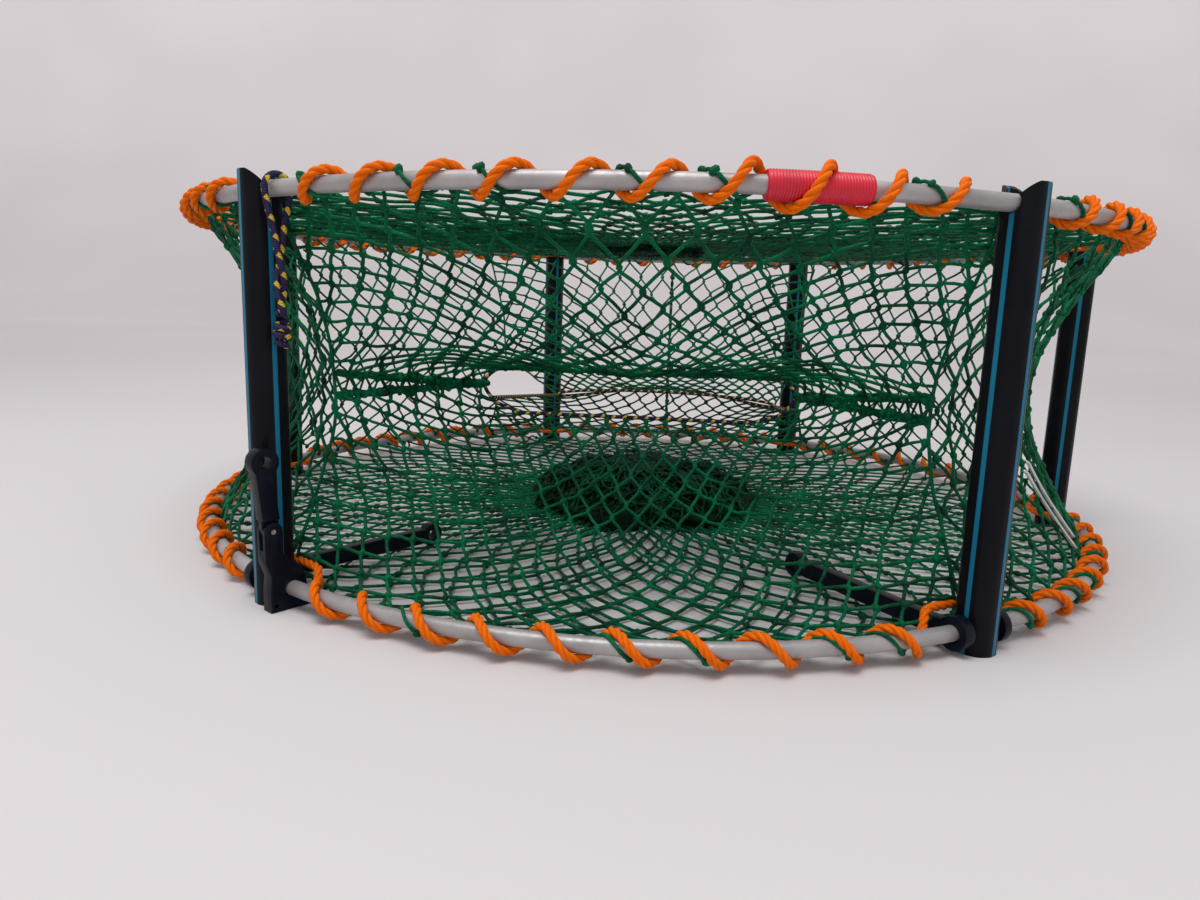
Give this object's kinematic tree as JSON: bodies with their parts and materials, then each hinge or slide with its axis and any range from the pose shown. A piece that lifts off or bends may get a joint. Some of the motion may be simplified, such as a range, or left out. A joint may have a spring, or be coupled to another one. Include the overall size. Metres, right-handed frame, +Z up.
{
  "type": "collapsible crab trap",
  "caption": "Round collapsible crab trap with galvanised rod rings, black pipe struts, green netting, funnel mouths and orange rope lashing.",
  "frame": {"origin": "middle of the trap on the surface that it stands on", "axes": "+Z up, -Y towards the front mouth, +X towards the right strut"},
  "size_m": [0.8156, 0.8156, 0.2762],
  "materials": {
    "galvanised_rod": "dull zinc",
    "black_pipe": "satin with blue stripes",
    "orange_rope": "braided",
    "red_plastic": "ribbed",
    "green_netting": "knotted twine",
    "navy_rope": "navy and yellow braid",
    "black_moulding": "moulded",
    "galvanised_wire": "bright zinc"
  },
  "bodies": {
    "frame": {"bottom_ring": "galvanised_rod", "bottom_lashing": "orange_rope", "floor_net": "green_netting", "floor_gather": "green_netting", "wall_net_left": "green_netting", "wall_net_right": "green_netting", "front_upper_net": "green_netting", "front_lower_net": "green_netting", "front_strip_left": "green_netting", "front_strip_right": "green_netting", "back_upper_net": "green_netting", "back_lower_net": "green_netting", "seam_cord": "green_netting", "front_rim_rope": "navy_rope", "back_rim_rope": "navy_rope", "tie_rope_left": "navy_rope", "tie_rope_right": "navy_rope", "latch_base": "black_moulding", "latch_pin": "galvanised_wire", "stop_plate": "black_moulding", "clasp_wire_fixed": "galvanised_wire"},
    "top": {"top_ring": "galvanised_rod", "top_lashing": "orange_rope", "top_net": "green_netting", "top_gather": "green_netting", "ring_sleeve": "red_plastic", "loop_rope": "navy_rope", "loop_knot": "navy_rope"},
    "latch_arm": {"latch_arm": "black_moulding"},
    "lever_left": {"lever_left": "black_moulding"},
    "lever_right": {"lever_right": "black_moulding"},
    "clasp_wire": {"clasp_wire_swing": "galvanised_wire"},
    "strut_front_left": {"strut_front_left": "black_pipe"},
    "strut_front_right": {"strut_front_right": "black_pipe"},
    "strut_right": {"strut_right": "black_pipe"},
    "strut_back_right": {"strut_back_right": "black_pipe"},
    "strut_back_left": {"strut_back_left": "black_pipe"},
    "strut_left": {"strut_left": "black_pipe"}
  },
  "joints": [
    {"name": "collapse", "type": "slide", "parent": "frame", "child": "top", "axis": [0, 0, 1], "range_m": [-0.205, 0], "deforming": ["wall_net_left", "wall_net_right", "front_upper_net", "front_lower_net", "front_strip_left", "front_strip_right", "back_upper_net", "back_lower_net", "front_rim_rope", "back_rim_rope", "tie_rope_left", "tie_rope_right", "seam_cord", "bottom_lashing", "top_net", "top_lashing", "loop_rope", "loop_knot"]},
    {"name": "fold_front_left", "type": "hinge", "parent": "frame", "child": "strut_front_left", "pos_m": [-0.23772, -0.31546, 0.0135], "axis": [-0.7986, 0.6018, 0], "range_deg": [0, 86]},
    {"name": "fold_front_right", "type": "hinge", "parent": "frame", "child": "strut_front_right", "pos_m": [0.20344, -0.33858, 0.0135], "axis": [-0.8572, -0.515, 0], "range_deg": [0, 86]},
    {"name": "fold_right", "type": "hinge", "parent": "frame", "child": "strut_right", "pos_m": [0.39476, -0.01379, 0.0135], "axis": [-0.0349, -0.9994, 0], "range_deg": [0, 86]},
    {"name": "fold_back_right", "type": "hinge", "parent": "frame", "child": "strut_back_right", "pos_m": [0.1975, 0.34208, 0.0135], "axis": [0.866, -0.5, 0], "range_deg": [0, 86]},
    {"name": "fold_back_left", "type": "hinge", "parent": "frame", "child": "strut_back_left", "pos_m": [-0.1351, 0.37118, 0.0135], "axis": [0.9397, 0.342, 0], "range_deg": [0, 86]},
    {"name": "fold_left", "type": "hinge", "parent": "frame", "child": "strut_left", "pos_m": [-0.38958, 0.06519, 0.0135], "axis": [0.165, 0.9863, 0], "range_deg": [0, 86]},
    {"name": "latch_turn", "type": "hinge", "parent": "frame", "child": "latch_arm", "pos_m": [-0.23032, -0.33556, 0.0525], "axis": [-0.7986, 0.6018, 0], "range_deg": [-95, 0]},
    {"name": "lever_left_turn", "type": "hinge", "parent": "frame", "child": "lever_left", "pos_m": [-0.25145, -0.30511, 0.0135], "axis": [0.7986, -0.6018, 0], "range_deg": [0, 45]},
    {"name": "lever_right_turn", "type": "hinge", "parent": "frame", "child": "lever_right", "pos_m": [0.1887, -0.34744, 0.0135], "axis": [0.8572, 0.515, 0], "range_deg": [0, 45]},
    {"name": "clasp_swing", "type": "hinge", "parent": "frame", "child": "clasp_wire", "pos_m": [0.3226, -0.2086, 0.0303], "axis": [0.6879, -0.4448, 0.5736], "range_deg": [0, 40]}
  ],
  "couplings": [
    {"joint": "fold_front_left", "follows": "collapse", "rad_per_m": -7.3219},
    {"joint": "fold_front_right", "follows": "collapse", "rad_per_m": -7.3219},
    {"joint": "fold_right", "follows": "collapse", "rad_per_m": -7.3219},
    {"joint": "fold_back_right", "follows": "collapse", "rad_per_m": -7.3219},
    {"joint": "fold_back_left", "follows": "collapse", "rad_per_m": -7.3219},
    {"joint": "fold_left", "follows": "collapse", "rad_per_m": -7.3219}
  ]
}
